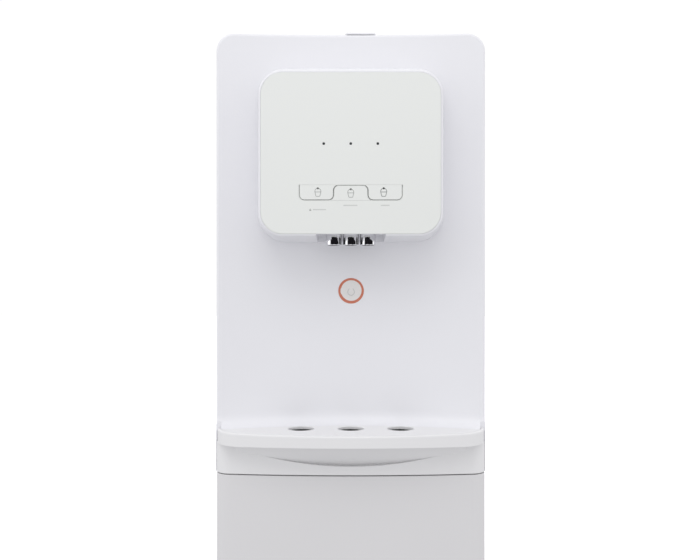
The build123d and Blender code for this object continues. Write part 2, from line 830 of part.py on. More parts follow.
def spout_tubes():
    """Silicone tubes from the nozzles back through the wall to the valves."""
    tubes = []
    for x in nozzle_places():
        points = [(x, nozzle_y, face_low + 19), (x, nozzle_y, valve_height),
                  (x, valve_y - 12.5, valve_height)]
        tubes.append(hose(points, 13, barb_radius + hose_wall, barb_radius + 0.1))
    return Compound(children=tubes)


def valve_manifold():
    """Ganged valve body: three outlets forward, three inlets down."""
    body = block(-valve_half_width, valve_half_width, valve_y - 12, valve_y + 12,
                 valve_height - 13, valve_height + 13)
    body = fillet(body.edges().filter_by(Axis.Z), 3)
    for x in nozzle_places():
        body += rod_y(x, valve_height, valve_y - 22, valve_y - 11, barb_radius)
    for x in supply_places():
        body += post(x, valve_y, valve_height - 24, valve_height - 12, tube_bore - 0.1)
    return body


def solenoid(index):
    """Valve coil in its yoke, on top of the valve body."""
    x = (index - 1) * coil_pitch
    low = valve_height + 13
    coil = post(x, valve_y, low, low + 30, 12.5)
    yoke = block(x - 14, x + 14, valve_y - 9, valve_y + 9, low + 30, low + 32)
    return coil + yoke + post(x, valve_y, low + 31, low + 36, 4)


# Tanks

def supply_places():
    return (hot_supply_x, 0, cold_x)


def tank_stubs():
    """Stubs under the tanks: x, y and radius.  Supply first, then drain, hot then cold."""
    return [(x, tank_y, tube_radius) for x in (hot_supply_x, hot_drain_x, cold_x, cold_drain_x)]


def tank(x, radius, height, low, stubs):
    """Hollow stainless tank with tube stubs below and a feed stub behind."""
    body = post(x, tank_y, low, low + height, radius)
    body = fillet(body.edges().filter_by(GeomType.CIRCLE), 9)
    inner = post(x, tank_y, low + tank_wall, low + height - tank_wall, radius - tank_wall)
    body -= fillet(inner.edges().filter_by(GeomType.CIRCLE), 8)
    for stub_x, stub_y, _ in stubs:
        body += post(stub_x, stub_y, deck_height - 4, low + 0.8, tube_bore - 0.1)
    feed_end = tank_y + (cold_outer if radius == cold_tank_radius else hot_outer) + 7
    return body + rod_y(x, deck_top + 22, tank_y + radius - 0.8, feed_end, tube_bore - 0.1)


def insulation(x, tank_radius, outer, height, low, stubs):
    """Foam shell round a tank, standing on the deck."""
    foam = post(x, tank_y, deck_top, low + height + 12, outer)
    foam = fillet(foam.edges().filter_by(GeomType.CIRCLE), 4)
    foam -= post(x, tank_y, low - 0.2, low + height + 0.2, tank_radius + jacket_wall + 0.3)
    for stub_x, stub_y, radius in stubs:
        foam -= post(stub_x, stub_y, deck_top - 1, low + 1, radius + 0.5)
    return foam - rod_y(x, deck_top + 22, tank_y, tank_y + outer + 1, tube_radius + 0.5)


def clamp_ring(x, radius, low, high):
    """A split band round a tank."""
    ring = post(x, tank_y, low, high, radius + jacket_wall) - post(x, tank_y, low - 1, high + 1,
                                                                   radius + 0.1)
    return ring - block(x - radius - 9, x - radius + 5, tank_y - 3, tank_y + 3, low - 1, high + 1)


def supply_tubes():
    """Tubes from the tanks and the filters forward and up to the valves."""
    tubes = []
    ends = [(supply_places()[0], tank_y), (0, filter_row_y), (supply_places()[2], tank_y)]
    for x, y in ends:
        points = [(x, valve_y, valve_height - 13.2), (x, valve_y, deck_height - 30),
                  (x, y, deck_height - 30), (x, y, deck_top - 0.2)]
        tubes.append(hose(points, 14, tube_radius, tube_bore))
    return Compound(children=tubes)


def feed_tubes():
    """Tube from the inlet up to the filters, and tubes from the filters to the tanks."""
    tubes = [inlet_hose()]
    for x, outer in ((hot_x, hot_outer), (cold_x, cold_outer)):
        tube = rod_y(x, deck_top + 22, tank_y + outer + 0.5, manifold_front - 0.2, tube_radius)
        tubes.append(tube - rod_y(x, deck_top + 22, tank_y, manifold_front + 1, tube_bore))
    return Compound(children=tubes)


def drain_places():
    return (hot_drain_x, cold_drain_x)


def drain_tubes():
    """Tubes from the tanks' low points to the outlets on the back."""
    tubes = []
    rear = back_in - 16
    for x in drain_places():
        points = [(x, tank_y, deck_height - 0.2), (x, tank_y, deck_height - 42),
                  (x, rear, deck_height - 42), (x, rear, drain_height),
                  (x, back_in - 6.2, drain_height)]
        tubes.append(hose(points, [12, 12, 8], tube_radius, tube_bore))
    return Compound(children=tubes)


# Filters

def filter_places():
    return [(i - 1) * filter_pitch for i in range(3)]


def filter_manifold():
    """Moulded head that the cartridges turn into."""
    body = block(-manifold_half, manifold_half, manifold_front, manifold_back, deck_top,
                 manifold_top)
    body = fillet(body.edges().filter_by(Axis.Z), 6)
    for x in filter_places():
        body -= post(x, filter_row_y, manifold_top - 10, manifold_top + 1,
                     filter_neck + running_gap * 2)
    for x in (hot_x, cold_x):
        body += rod_y(x, deck_top + 22, manifold_front - 8, manifold_front + 1, tube_bore - 0.1)
    body += rod_y(inlet_x, deck_top + 15, manifold_back - 1, manifold_back + 8, tube_bore - 0.1)
    return body


def filter_cartridge(index):
    x = filter_places()[index]
    low = manifold_top + 2
    body = post(x, filter_row_y, low, low + filter_length, filter_radius)
    body = fillet(body.edges().group_by(Axis.Z)[-1], 8)
    body = fillet(body.edges().group_by(Axis.Z)[0], 3)
    body += post(x, filter_row_y, manifold_top - 9, low + 1, filter_neck)
    top = low + filter_length
    grip = block(x - 18, x + 18, filter_row_y - 3.5, filter_row_y + 3.5, top - 1, top + 12)
    return body + fillet(grip.edges().filter_by(Axis.Y).group_by(Axis.Z)[-1], 5)


def inlet_hose():
    y = back_in - 24
    points = [(inlet_x, back_in - 12.2, inlet_height), (inlet_x, y, inlet_height),
              (inlet_x, y, deck_top + 15), (inlet_x, manifold_back + 0.2, deck_top + 15)]
    return hose(points, [8, 8], tube_radius, tube_bore)


# Cooling

def mount_places():
    reach = compressor_foot - 9
    return [(compressor_x + i * reach, compressor_y + j * (reach - 16))
            for i in (-1, 1) for j in (-1, 1)]


def compressor():
    """Hermetic compressor: welded shell, base plate, terminal cover and pipe stubs."""
    low = pan_top + 11
    shell = post(compressor_x, compressor_y, low, low + compressor_height, compressor_radius)
    shell = fillet(shell.edges().filter_by(GeomType.CIRCLE), 22)
    middle = low + compressor_height * 0.5
    shell += post(compressor_x, compressor_y, middle - 3, middle + 3, compressor_radius + 2.5)
    foot = block(compressor_x - compressor_foot, compressor_x + compressor_foot,
                 compressor_y - compressor_foot + 16, compressor_y + compressor_foot - 16,
                 low - 3, low + 1)
    for x, y in mount_places():
        foot -= post(x, y, low - 4, low + 2, 5.2)
    shell += foot
    shell += block(compressor_x + 40, compressor_x + compressor_radius + 14, compressor_y - 18,
                   compressor_y + 18, low + 45, low + 90)
    shell += post(compressor_x - 18, compressor_y - 20, low + 120, low + compressor_height + 14, 4)
    shell += post(compressor_x + 16, compressor_y - 24, low + 120, low + compressor_height + 10, 3)
    cavity = post(compressor_x, compressor_y, low + 26, low + compressor_height - 8,
                  compressor_radius - 7)
    return shell - fillet(cavity.edges().filter_by(GeomType.CIRCLE), 12)


def compressor_mounts():
    """Rubber bushes between the base plate and the pan."""
    mounts = []
    low = pan_top
    for x, y in mount_places():
        bush = post(x, y, low, low + 8, 9)
        bush += post(x, y, low + 7, low + 12, 5)
        bush += post(x, y, low + 12, low + 15, 8)
        mounts.append(bush - post(x, y, low - 1, low + 16, 3.2))
    return Compound(children=mounts)


def compressor_bolts():
    bolts = []
    for x, y in mount_places():
        bolt = post(x, y, foot_height - 3, pan_top + 18, 3)
        bolts.append(bolt + Pos(x, y, foot_height - 3) * extrude(RegularPolygon(5.5, 6), 3)
                     + post(x, y, pan_top + 15, pan_top + 16.2, 7)
                     + Pos(x, y, pan_top + 16.2) * extrude(RegularPolygon(5.5, 6), 4))
    return Compound(children=bolts)


def coil_ends():
    """Heights at which the condenser tube goes through the back."""
    return (coil_low, coil_low + (coil_passes - 0.5) * coil_step)


def condenser_tube():
    """One steel tube laid back and forth behind the cabinet."""
    y = back_y + 10
    points = []
    for row in range(coil_passes):
        z = coil_low + row * coil_step
        ends = [(-coil_run, y, z), (coil_run, y, z)]
        points += ends if row % 2 == 0 else ends[::-1]
    inner = -coil_run - 14
    low, high = coil_ends()
    points[0] = (inner, y, low)
    points = [(inner, back_in - 8, low)] + points
    points += [(coil_run, y, high), (inner, y, high), (inner, back_in - 8, high)]
    bend = coil_step / 4 - 0.5
    path = FilletPolyline(*points, radius=bend)
    return sweep(Plane(origin=path @ 0, z_dir=path % 0) * Circle(coil_radius), path=path)


def condenser_wires():
    """Spot-welded wires on the outside of the tube."""
    y = back_y + 10 + coil_radius + wire_radius + 0.02
    low = coil_low - 10
    high = coil_low + (coil_passes - 0.5) * coil_step + 10
    wires = []
    for n in range(wire_count):
        x = (n - (wire_count - 1) / 2) * wire_step
        wires.append(post(x, y, low, high, wire_radius))
    return Compound(children=wires)


def condenser_brackets():
    """Plastic strips that hold the condenser and keep the back off the wall."""
    y = back_y + 10
    low = coil_low - 12
    high = coil_low + (coil_passes - 0.5) * coil_step + 12
    strips = []
    for side in (-1, 1):
        inner = (wire_count - 1) / 2 * wire_step + 4
        x0, x1 = sorted((side * inner, side * (inner + bracket_width)))
        strip = block(x0 - 3, x1 + 3, back_y, y - coil_radius - 0.1, low, high)
        for z in (low, high - 14):
            strip += block(x0, x1, back_y, rear_y, z, z + 14) - block(
                x0 - 1, x1 + 1, y - coil_radius - 0.1, y + 6, z + 8 if z == low else z - 1,
                z + 15 if z == low else z + 6)
        strips.append(strip)
    return Compound(children=strips)


# Back fittings and supply

def power_board():
    """Supply board on four pillars from the right side panel."""
    x = inner_half - 15
    board = block(x - board_thickness, x, -60, 50, 60, 150)
    board += block(x - 22, x - 1, -48, -18, 70, 100)
    board += block(x - 14, x - 1, 0, 22, 72, 90)
    board += block(x - 10, x - 1, -10, 36, 112, 134)
    for y in (-55, 45):
        for z in (65, 145):
            board += rod_x(y, z, x - 0.5, inner_half, 3)
    return board


def mains_inlet():
    """Appliance inlet with a recessed socket and three blades."""
    flange = panel(rounded(socket_x, socket_height, 36, 28, 3), back_y, back_y + 3)
    body = panel(rounded(socket_x, socket_height, 27.6, 20.6, 2), back_in - 20, back_y + 1)
    cavity = panel(rounded(socket_x, socket_height, 24.4, 16.4, 3), back_in - 12, back_y + 4)
    shape = flange + body - cavity
    for x, z in ((-7, -1), (7, -1), (0, 3)):
        shape += block(socket_x + x - 1, socket_x + x + 1, back_in - 13, back_y - 4,
                       socket_height + z - 2, socket_height + z + 2)
    return shape


def rocker_places():
    return (socket_height - rocker_spread, socket_height + rocker_spread)


def switch_frames():
    frames = []
    for z in rocker_places():
        frame = panel(rounded(rocker_x, z, 18, 25, 2), back_y, back_y + 2)
        frame += panel(rounded(rocker_x, z, 15, 21.2, 0.8), back_in - 16, back_y + 1)
        frames.append(frame - block(rocker_x - rocker_width / 2 - body_gap,
                                    rocker_x + rocker_width / 2 + body_gap, back_in - 14,
                                    back_y + 3, z - rocker_radius - body_gap,
                                    z + rocker_radius + body_gap))
    return Compound(children=frames)


def rocker(z):
    """Rocker tilted to its on position, turning about its own centre."""
    with BuildSketch(Plane.YZ) as side:
        Circle(rocker_radius)
        with BuildLine():
            Polyline((-6, -12), (5.2, -12), (4.8, -9), (2.2, 0), (4.8, 9), (5.2, 12), (-6, 12),
                     close=True)
        make_face(mode=Mode.INTERSECT)
    shape = extrude(side.sketch, rocker_width / 2, both=True)
    return Pos(rocker_x, back_y - 2.5, z) * Rot(rocker_tilt, 0, 0) * shape


def inlet_fitting():
    """Push-fit bulkhead union for the water supply."""
    body = rod_y(inlet_x, inlet_height, back_in - 12, back_y + 15, 9)
    body += Pos(inlet_x, back_y, inlet_height) * Rot(-90, 0, 0) * extrude(RegularPolygon(13, 6), 5)
    body += Pos(inlet_x, back_in - 5, inlet_height) * Rot(-90, 0, 0) * extrude(
        RegularPolygon(12, 6), 5)
    mouth = back_y + 15
    body -= rod_y(inlet_x, inlet_height, mouth - inlet_depth, mouth + 1, inlet_bore)
    return body - rod_y(inlet_x, inlet_height, back_in - 13, mouth, inlet_throat)


def drain_spigots():
    spigots = []
    for x in drain_places():
        spigot = rod_y(x, drain_height, back_in - 6, back_y + 14, drain_radius)
        spigot += rod_y(x, drain_height, back_in - 3, back_in, drain_radius + 4)
        spigot += rod_y(x, drain_height, back_y, back_y + 3, drain_radius + 4)
        spigots.append(spigot - rod_y(x, drain_height, back_in - 7, back_y + 15, drain_bore))
    return Compound(children=spigots)


def drain_plug(x):
    """Silicone cap pushed over a drain spigot, with a pull tab."""
    cap = rod_y(x, drain_height, back_y + 5, back_y + 17, plug_radius)
    cap = fillet(cap.edges().group_by(Axis.Y)[-1], 2)
    cap -= rod_y(x, drain_height, back_y + 4, back_y + 14.4, drain_radius + running_gap)
    tab = block(x - 3, x + 3, back_y + 13, back_y + 16, drain_height - 17, drain_height - 7)
    return cap + fillet(tab.edges().filter_by(Axis.Y), 2)


dispenser = {
    "base_pan": base_pan(),
    "rubber_feet": rubber_feet(),
    "left_side_panel": side_panel(-1),
    "right_side_panel": side_panel(1),
    "front_panel": front_panel(),
    "drip_shelf": drip_shelf(),
    "lower_front_panel": lower_front_panel(),
    "drawer_front": drawer_front(),
    "drip_basin": drip_basin(),
    "drawer_guide": drawer_guide(),
    "top_cover": top_cover(),
    "top_lid": top_lid(),
    "rear_panel": rear_panel(),
    "rear_screws": rear_screws(),
    "tank_deck": tank_deck(),
    "head_housing": head_housing(),
    "face_plate": face_plate(),
    "led_lenses": led_lenses(),
    "control_board": control_board(),
    "tact_switches": tact_switches(),
    "nozzle_block": nozzle_block(),
    "spout_tubes": spout_tubes(),
    "valve_manifold": valve_manifold(),
    "supply_tubes": supply_tubes(),
    "feed_tubes": feed_tubes(),
    "drain_tubes": drain_tubes(),
    "filter_manifold": filter_manifold(),
    "compressor": compressor(),
    "compressor_mounts": compressor_mounts(),
    "compressor_bolts": compressor_bolts(),
    "condenser_tube": condenser_tube(),
    "condenser_wires": condenser_wires(),
    "condenser_brackets": condenser_brackets(),
    "power_board": power_board(),
    "mains_inlet": mains_inlet(),
    "switch_frames": switch_frames(),
    "inlet_fitting": inlet_fitting(),
    "drain_spigots": drain_spigots(),
}

hot_stubs = tank_stubs()[:2]
cold_stubs = tank_stubs()[2:]
tank_low = deck_top + 10
dispenser["hot_tank"] = tank(hot_x, hot_tank_radius, hot_tank_height, tank_low, hot_stubs)
dispenser["cold_tank"] = tank(cold_x, cold_tank_radius, cold_tank_height, tank_low, cold_stubs)
dispenser["hot_insulation"] = insulation(hot_x, hot_tank_radius, hot_outer, hot_tank_height,
                                         tank_low, hot_stubs)
dispenser["cold_insulation"] = insulation(cold_x, cold_tank_radius, cold_outer,
                                          cold_tank_height, tank_low, cold_stubs)
dispenser["heater_band"] = clamp_ring(hot_x, hot_tank_radius, tank_low + 50, tank_low + 90)
dispenser["evaporator_jacket"] = clamp_ring(cold_x, cold_tank_radius, tank_low + 50,
                                            tank_low + 140)

for index, water in enumerate(water_names):
    dispenser[f"key_{water}"] = key(index)
    dispenser[f"nozzle_{water}"] = nozzle(index)
    dispenser[f"solenoid_{water}"] = solenoid(index)

for index, stage in enumerate(("sediment", "carbon", "membrane")):
    dispenser[f"filter_{stage}"] = filter_cartridge(index)

for kind, x in zip(("hot", "cold"), drain_places()):
    dispenser[f"drain_plug_{kind}"] = drain_plug(x)

for kind, z in zip(("hot", "cold"), rocker_places()):
    dispenser[f"rocker_{kind}"] = rocker(z)

os.makedirs("parts", exist_ok=True)
for name, shape in dispenser.items():
    shape.label = name
    export_step(shape, f"parts/{name}.step")
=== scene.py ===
import math

import bmesh
import bpy
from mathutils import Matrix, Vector


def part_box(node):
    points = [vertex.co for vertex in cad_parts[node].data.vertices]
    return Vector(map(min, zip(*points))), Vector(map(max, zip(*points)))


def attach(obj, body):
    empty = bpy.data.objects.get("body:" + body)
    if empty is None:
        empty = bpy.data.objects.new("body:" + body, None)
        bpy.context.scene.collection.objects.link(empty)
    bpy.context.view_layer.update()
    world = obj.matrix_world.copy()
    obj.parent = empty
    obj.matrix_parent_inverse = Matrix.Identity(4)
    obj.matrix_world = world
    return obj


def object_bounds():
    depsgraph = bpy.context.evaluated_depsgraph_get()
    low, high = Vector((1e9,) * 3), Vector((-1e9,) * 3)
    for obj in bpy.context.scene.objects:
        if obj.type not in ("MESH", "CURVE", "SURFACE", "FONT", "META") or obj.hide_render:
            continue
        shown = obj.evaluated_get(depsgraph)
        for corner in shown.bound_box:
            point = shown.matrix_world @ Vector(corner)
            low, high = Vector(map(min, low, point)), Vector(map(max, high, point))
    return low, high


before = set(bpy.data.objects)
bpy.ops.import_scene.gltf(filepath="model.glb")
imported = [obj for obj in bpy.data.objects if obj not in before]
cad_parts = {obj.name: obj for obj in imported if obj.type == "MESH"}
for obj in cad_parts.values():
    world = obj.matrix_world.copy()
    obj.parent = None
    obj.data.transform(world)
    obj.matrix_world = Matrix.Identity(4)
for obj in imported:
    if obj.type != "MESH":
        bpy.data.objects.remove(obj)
cad_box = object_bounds()


# Studio: a pale floor, a white surround that is dimmer from below, one large soft box
# above and in front, a weaker one on each side, and a bent dark strip that only the
# reflections show.

scene = bpy.context.scene
scene.view_settings.view_transform = "Standard"
scene.view_settings.look = "None"


def on_stage(name, data):
    """Puts a light or a piece of studio furniture in the scene."""
    thing = bpy.data.objects.new(name, data)
    scene.collection.objects.link(thing)
    return thing


def flat_sheet(name, across, along):
    """A plane about its own centre, across by along."""
    mesh = bpy.data.meshes.new(name)
    x, y = across / 2, along / 2
    mesh.from_pydata([(-x, -y, 0), (x, -y, 0), (x, y, 0), (-x, y, 0)], [], [(0, 1, 2, 3)])
    return on_stage(name, mesh)


def aim(thing, place, target):
    """Stands a light, a camera or a card at a place, turned to a target."""
    thing.location = place
    thing.rotation_euler = (Vector(target) - Vector(place)).to_track_quat("-Z", "Y").to_euler()


def soft_box(name, place, target, width, height, power, tint=(1, 1, 1)):
    lamp = bpy.data.lights.new(name, "AREA")
    lamp.shape = "RECTANGLE"
    lamp.size, lamp.size_y = width, height
    lamp.energy = power
    lamp.color = tint
    aim(on_stage(name, lamp), place, target)


surround = bpy.data.worlds.new("surround")
scene.world = surround
surround.use_nodes = True
sky = surround.node_tree
sky.nodes.clear()
sky_out = sky.nodes.new("ShaderNodeOutputWorld")
seen = sky.nodes.new("ShaderNodeBackground")
seen.inputs["Color"].default_value = (1, 1, 1, 1)
seen.inputs["Strength"].default_value = 1.02
lit = sky.nodes.new("ShaderNodeBackground")
lit.inputs["Strength"].default_value = 0.93
where = sky.nodes.new("ShaderNodeTexCoord")
split = sky.nodes.new("ShaderNodeSeparateXYZ")
fall = sky.nodes.new("ShaderNodeValToRGB")
fall.color_ramp.elements[0].position = 0.0
fall.color_ramp.elements[0].color = (0.66, 0.66, 0.68, 1)
fall.color_ramp.elements[1].position = 0.75
fall.color_ramp.elements[1].color = (1, 1, 1.02, 1)
lift = sky.nodes.new("ShaderNodeMath")
lift.operation = "MULTIPLY_ADD"
lift.inputs[1].default_value = 0.5
lift.inputs[2].default_value = 0.5
path = sky.nodes.new("ShaderNodeLightPath")
choose = sky.nodes.new("ShaderNodeMixShader")
for start, end in (
        (where.outputs["Generated"], split.inputs[0]), (split.outputs["Z"], lift.inputs[0]),
        (lift.outputs[0], fall.inputs[0]), (fall.outputs[0], lit.inputs["Color"]),
        (path.outputs["Is Camera Ray"], choose.inputs[0]), (lit.outputs[0], choose.inputs[1]),
        (seen.outputs[0], choose.inputs[2]), (choose.outputs[0], sky_out.inputs["Surface"])):
    sky.links.new(start, end)

floor_paint = bpy.data.materials.new("floor_paint")
floor_paint.use_nodes = True
floor_shader = floor_paint.node_tree.nodes["Principled BSDF"]
floor_shader.inputs["Base Color"].default_value = (0.9, 0.9, 0.9, 1)
floor_shader.inputs["Roughness"].default_value = 0.9
floor_shader.inputs["Specular IOR Level"].default_value = 0.1
floor_shader.inputs["Emission Color"].default_value = (1, 1, 1, 1)
floor_shader.inputs["Emission Strength"].default_value = 0.55
floor = flat_sheet("floor", 14, 14)
floor.location.z = -0.0005
floor.data.materials.append(floor_paint)
floor.visible_diffuse = False
floor.visible_glossy = False

card_paint = bpy.data.materials.new("card_paint")
card_paint.use_nodes = True
card_shader = card_paint.node_tree.nodes["Principled BSDF"]
card_shader.inputs["Base Color"].default_value = (0.012, 0.011, 0.013, 1)
card_shader.inputs["Specular IOR Level"].default_value = 0.0
spout_low, spout_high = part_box("nozzle_ambient")
spout_middle = (spout_low + spout_high) / 2
strip_radius, strip_height, strip_rise = 0.55, 0.14, 0.02
strip_turns = [math.radians(degrees) for degrees in range(-45, 76, 5)]
strip_mesh = bpy.data.meshes.new("dark_strip")
strip_points = [(spout_middle.x + strip_radius * math.sin(turn),
                 spout_middle.y - strip_radius * math.cos(turn),
                 spout_middle.z + strip_rise + side * strip_height / 2)
                for turn in strip_turns for side in (-1, 1)]
strip_mesh.from_pydata(strip_points, [], [(2 * n, 2 * n + 2, 2 * n + 3, 2 * n + 1)
                                          for n in range(len(strip_turns) - 1)])
strip = on_stage("dark_strip", strip_mesh)
strip_mesh.materials.append(card_paint)
for ray in ("camera", "diffuse", "shadow", "transmission"):
    setattr(strip, f"visible_{ray}", False)

soft_box("key_box", (-0.25, -1.25, 1.75), (0, -0.1, 0.38), 1.5, 0.9, 5.5)
soft_box("left_box", (-1.6, -0.7, 0.9), (0, 0, 0.3), 0.9, 1.2, 2.2, (0.98, 0.99, 1.0))
soft_box("right_box", (1.6, -0.5, 0.9), (0, 0, 0.3), 0.9, 1.2, 1.6, (1.0, 0.99, 0.98))
soft_box("back_box", (0.6, 1.8, 1.3), (0, 0, 0.3), 1.2, 1.0, 9)

eye = bpy.data.cameras.new("eye")
eye.sensor_width = 36
eye.lens = 43.2
eye.shift_x = -0.0011
eye.shift_y = 0.0071
camera = on_stage("eye", eye)
aim(camera, (0, -1.007, 0.299), (0, 0, 0.299))
scene.camera = camera


# Base pan, feet and fixings.  The pan is pressed from galvanised sheet, the feet and the
# compressor's bushes are moulded rubber, and every screw and bolt is zinc plated.

class Wire:
    """A node's output that takes Python's operators; each adds one Math node."""

    def __init__(self, finish, socket):
        self.finish = finish
        self.socket = socket

    def math(self, operation, first, second):
        return self.finish.add("ShaderNodeMath", {"operation": operation}, {0: first, 1: second})

    def __add__(self, other):
        return self.math("ADD", self, other)

    def __sub__(self, other):
        return self.math("SUBTRACT", self, other)

    def __rsub__(self, other):
        return self.math("SUBTRACT", other, self)

    def __mul__(self, other):
        return self.math("MULTIPLY", self, other)

    def __gt__(self, other):
        return self.math("GREATER_THAN", self, other)

    __radd__ = __add__
    __rmul__ = __mul__


class Finish:
    """One material of the dispenser, with one way to add any node to it."""

    def __init__(self, name, **uniform):
        self.material = bpy.data.materials.new(name)
        self.material.use_nodes = True
        self.tree = self.material.node_tree
        self.shader = self.tree.nodes["Principled BSDF"]
        for socket, value in uniform.items():
            self.shader.inputs[socket.replace("_", " ")].default_value = value

    def add(self, kind, settings=None, sockets=None, output=0):
        """A node with its settings, then the values or links of its sockets."""
        node = self.tree.nodes.new(kind)
        for name, value in (settings or {}).items():
            if name == "stops":
                ramp = node.color_ramp
                while len(ramp.elements) < len(value):
                    ramp.elements.new(0.5)
                for stop, (position, shade) in zip(ramp.elements, value):
                    stop.position = position
                    stop.color = (*shade, 1)
            else:
                setattr(node, name, value)
        for name, value in (sockets or {}).items():
            if isinstance(value, Wire):
                self.tree.links.new(value.socket, node.inputs[name])
            else:
                node.inputs[name].default_value = value
        return Wire(self, node.outputs[output])

    def feed(self, socket, wire):
        self.tree.links.new(wire.socket, self.shader.inputs[socket])

    def place(self, stretch=(1, 1, 1)):
        """A point's place on the piece in metres, stretched along the axes."""
        spot = self.add("ShaderNodeTexCoord", output="Object")
        return self.add("ShaderNodeVectorMath", {"operation": "MULTIPLY"}, {0: spot, 1: stretch})

    def grain(self, size, detail=2.0, stretch=(1, 1, 1)):
        """Soft noise from 0 to 1 with spots size metres across."""
        return self.add("ShaderNodeTexNoise", None,
                        {"Vector": self.place(stretch), "Scale": 1 / size, "Detail": detail})

    def cells(self, size, feature="F1", output="Distance", stretch=(1, 1, 1)):
        """Cells size metres across."""
        return self.add("ShaderNodeTexVoronoi", {"feature": feature},
                        {"Vector": self.place(stretch), "Scale": 1 / size}, output)

    def ramp(self, value, low, high):
        """0 below low, 1 above high, and straight between them."""
        return self.add("ShaderNodeMapRange", {"clamp": True},
                        {"Value": value, "From Min": low, "From Max": high})

    def tint(self, share, low, high):
        """A colour between low and high."""
        return self.add("ShaderNodeMix", {"data_type": "RGBA"},
                        {0: share, 6: self.colour(low), 7: self.colour(high)}, 2)

    def colour(self, value):
        return value if isinstance(value, Wire) else (*value, 1)

    def edges(self, radius):
        """Near 1 on sharp edges, 0 on open faces."""
        eased = self.add("ShaderNodeBevel", {"samples": 4}, {"Radius": radius})
        true = self.add("ShaderNodeNewGeometry", output="Normal")
        match = self.add("ShaderNodeVectorMath", {"operation": "DOT_PRODUCT"},
                         {0: eased, 1: true}, "Value")
        return self.ramp(1 - match, 0.02, 0.25)

    def corners(self, reach):
        """Near 1 deep in corners and seams, 0 in the open: an occlusion mask for painted shade."""
        return 1 - self.add("ShaderNodeAmbientOcclusion", {"samples": 4}, {"Distance": reach}, "AO")

    def relief(self, height, depth):
        """Raises the surface by height times depth metres."""
        self.feed("Normal", self.add("ShaderNodeBump", None,
                                     {"Strength": 1.0, "Distance": depth, "Height": height}))


def dress(finish, *nodes):
    """Gives CAD nodes a finish."""
    for node in nodes:
        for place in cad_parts[node].material_slots:
            place.material = finish.material


zinc = Finish("galvanised_sheet", Metallic=1.0)
spangle = zinc.cells(0.009, output="Color")
spangle_tone = zinc.add("ShaderNodeSeparateColor", None, {0: spangle})
smear = zinc.grain(0.03, 4)
zinc_wear = zinc.edges(0.0008)
zinc.feed("Base Color", zinc.tint(zinc_wear * 0.5 + spangle_tone * 0.5, (0.50, 0.51, 0.52),
                                  (0.68, 0.69, 0.70)))
zinc.feed("Roughness", 0.34 + smear * 0.16 + spangle_tone * 0.08)
zinc.relief(zinc.grain(0.0012, 3) * 0.6 + spangle_tone * 0.3, 0.00004)
dress(zinc, "base_pan", "tank_deck", "rear_panel")

rubber = Finish("foot_rubber", Specular_IOR_Level=0.35)
bloom = rubber.grain(0.006, 4)
rubber_rub = rubber.edges(0.0006)
rubber.feed("Base Color", rubber.tint(bloom * 0.5 + rubber_rub * 0.5, (0.016, 0.016, 0.017),
                                      (0.075, 0.073, 0.070)))
rubber.feed("Roughness", 0.62 + bloom * 0.25)
rubber.relief(rubber.grain(0.0005, 2), 0.00003)
dress(rubber, "rubber_feet", "compressor_mounts")

plating = Finish("zinc_plated_steel", Metallic=1.0)
turned = plating.grain(0.0006, 3, (1, 1, 6))
# The plating is painted darker deep in corners and seams: painted shade.
plating_corner_shade = plating.corners(0.0012)
plating.feed("Base Color", plating.tint(plating_corner_shade, (0.62, 0.61, 0.57), (0.18, 0.17, 0.16)))
plating.feed("Roughness", 0.26 + turned * 0.2)
plating.relief(turned, 0.00001)
dress(plating, "rear_screws", "compressor_bolts")


# Compressor and condenser.  The welded steel shell, the coil tube and the wires that are
# spot-welded across it are all dipped in black enamel; the spacers are black plastic.

enamel = Finish("black_enamel", Coat_Weight=0.25, Coat_Roughness=0.2)
enamel_dust = enamel.grain(0.02, 5)
enamel_chip = enamel.edges(0.0006) * (enamel.grain(0.003, 3) > 0.62)
enamel.feed("Base Color", enamel.tint(enamel_chip, enamel.tint(
    enamel_dust, (0.010, 0.010, 0.011), (0.045, 0.044, 0.042)), (0.28, 0.26, 0.24)))
enamel.feed("Roughness", 0.28 + enamel_dust * 0.3)
enamel.relief(enamel.grain(0.0016, 2), 0.00006)
dress(enamel, "compressor", "condenser_tube", "condenser_wires")

black_plastic = Finish("black_moulding", Specular_IOR_Level=0.45)
fine_grain = black_plastic.cells(0.0007)
black_rub = black_plastic.edges(0.0005)
black_plastic.feed("Base Color", black_plastic.tint(
    black_plastic.grain(0.01, 3) * 0.4 + black_rub * 0.6, (0.018, 0.018, 0.020),
    (0.060, 0.060, 0.062)))
black_plastic.feed("Roughness", 0.44 + fine_grain * 0.22)
black_plastic.relief(fine_grain, 0.00004)
dress(black_plastic, "condenser_brackets", "switch_frames", "mains_inlet", "tact_switches")


# Tanks.  Both are stainless steel with moulded foam round them; the hot one has a steel
# heater band and the cold one a rolled aluminium jacket that carries the refrigerant.

stainless = Finish("stainless_steel", Metallic=1.0, Anisotropic=0.4)
brushing = stainless.grain(0.0012, 4, (1, 1, 30))
heat = stainless.grain(0.05, 2)
stainless.feed("Base Color", stainless.tint(heat, (0.58, 0.57, 0.55), (0.70, 0.70, 0.71)))
stainless.feed("Roughness", 0.20 + brushing * 0.22)
stainless.relief(brushing, 0.000015)
dress(stainless, "hot_tank", "cold_tank", "heater_band")

jacket = Finish("rolled_aluminium", Metallic=1.0)
ripple = jacket.add("ShaderNodeTexWave", {"wave_type": "BANDS", "bands_direction": "Z"},
                    {"Vector": jacket.place(), "Scale": 36.0, "Distortion": 0.2})
jacket.feed("Base Color", jacket.tint(jacket.grain(0.02, 4), (0.66, 0.67, 0.69), (0.80, 0.81, 0.82)))
jacket.feed("Roughness", 0.30 + jacket.grain(0.004, 3, (1, 1, 8)) * 0.2)
jacket.relief(ripple, 0.0004)
dress(jacket, "evaporator_jacket")

